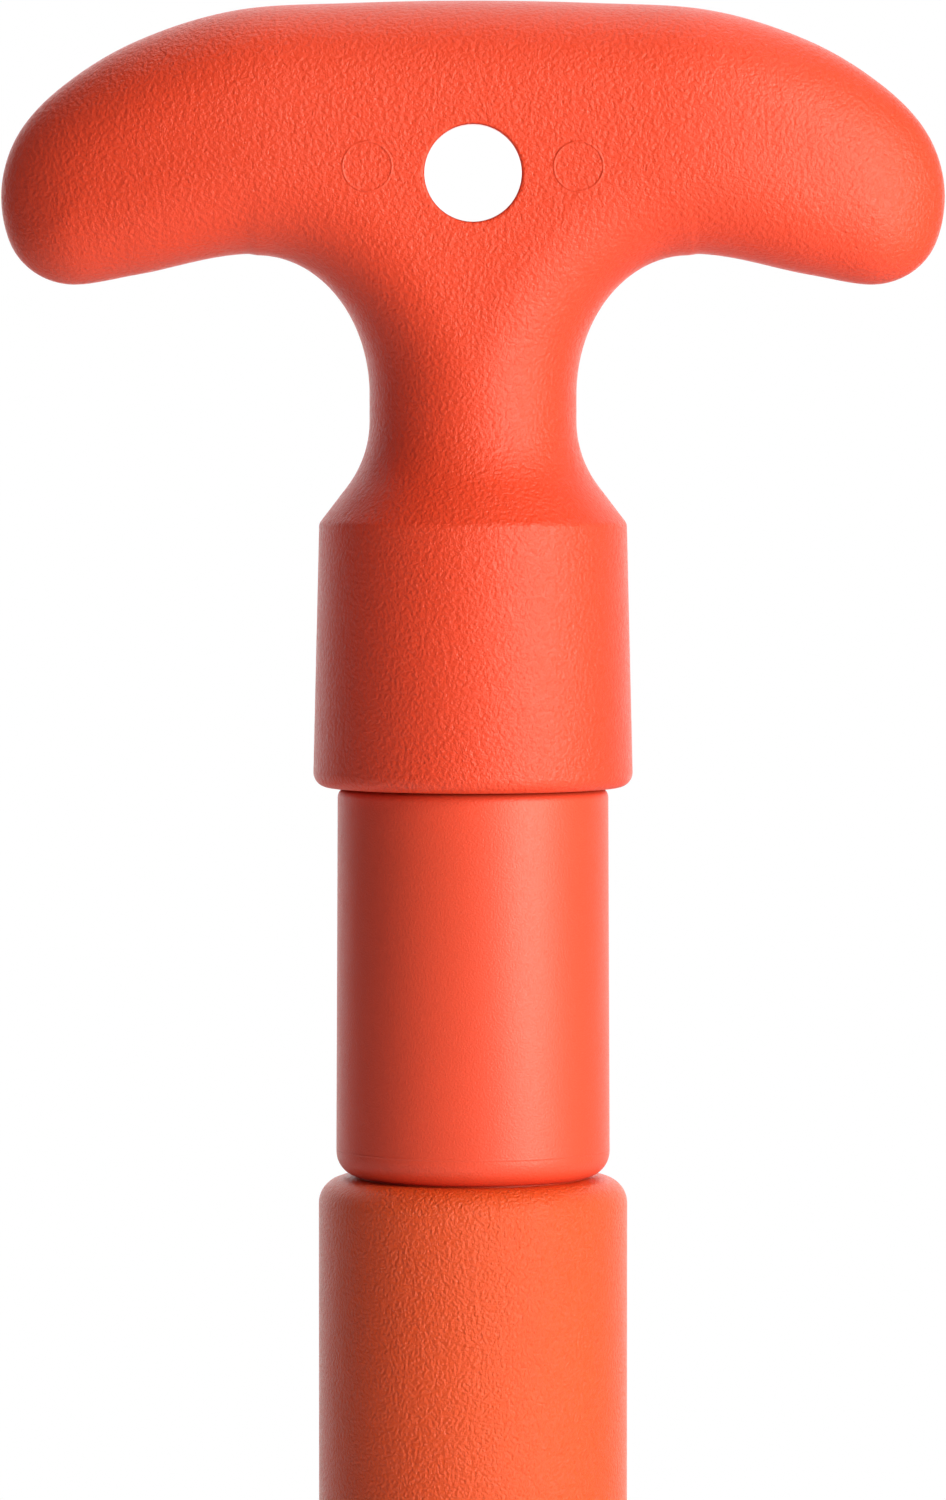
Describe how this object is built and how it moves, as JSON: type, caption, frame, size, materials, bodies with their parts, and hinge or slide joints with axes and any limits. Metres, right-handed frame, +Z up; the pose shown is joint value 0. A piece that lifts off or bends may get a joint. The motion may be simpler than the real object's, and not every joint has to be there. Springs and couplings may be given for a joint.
{
  "type": "avalanche shovel",
  "caption": "Collapsible avalanche shovel: T-grip with hang hole, twist-lock sleeve, telescopic shaft and a push-button scoop blade with anchor holes.",
  "frame": {"origin": "centre of the hang hole through the T-grip", "axes": "+Z up the shaft towards the T-grip's crest, +X along the T-grip's arms and the blade's width, the scoop and the release button face -Y"},
  "size_m": [0.2382, 0.0515, 0.7123],
  "materials": {
    "orange_grip": "fine pebbled moulding",
    "orange_sleeve": "smooth satin",
    "orange_tube": "fine grained satin",
    "orange_blade": "fine grained satin",
    "aluminium": "brushed, clear anodised",
    "steel": "stainless",
    "grey_nylon": "matt",
    "white_acetal": "smooth",
    "black_rubber": "matt"
  },
  "bodies": {
    "upper_shaft": {"t_grip": "orange_grip", "grip_screws": "steel", "inner_tube": "aluminium", "slide_bush": "grey_nylon", "bush_pins": "steel", "bush_o_ring": "black_rubber", "bumper_ring": "black_rubber", "inner_tube_cap": "grey_nylon"},
    "lower_shaft": {"shaft_ferrule": "orange_sleeve", "ferrule_screws": "steel", "retaining_clip": "steel", "thrust_washer": "steel", "lower_tube": "orange_tube", "tube_end_plug": "grey_nylon", "button_spring": "steel", "blade": "orange_blade"},
    "twist_sleeve": {"lock_sleeve": "orange_sleeve", "wiper_ring": "orange_sleeve"},
    "wedge": {"wedge_ring": "white_acetal"},
    "button": {"release_button": "steel"}
  },
  "joints": [
    {"name": "shaft_extend", "type": "slide", "parent": "upper_shaft", "child": "lower_shaft", "axis": [0, 0, -1], "range_m": [0, 0.15]},
    {"name": "sleeve_twist", "type": "hinge", "parent": "lower_shaft", "child": "twist_sleeve", "pos_m": [0, 0, -0.1], "axis": [0, 0, 1], "range_deg": [0, 180]},
    {"name": "wedge_slide", "type": "slide", "parent": "lower_shaft", "child": "wedge", "axis": [0, 0, 1], "range_m": [0, 0.002]},
    {"name": "button_press", "type": "slide", "parent": "lower_shaft", "child": "button", "axis": [0, 1, 0], "range_m": [0, 0.005], "stiffness_N_per_m": 1200, "springref_m": -0.003, "deforming": ["button_spring"]}
  ],
  "couplings": [
    {"joint": "wedge_slide", "follows": "sleeve_twist", "m_per_rad": 0.000636}
  ]
}
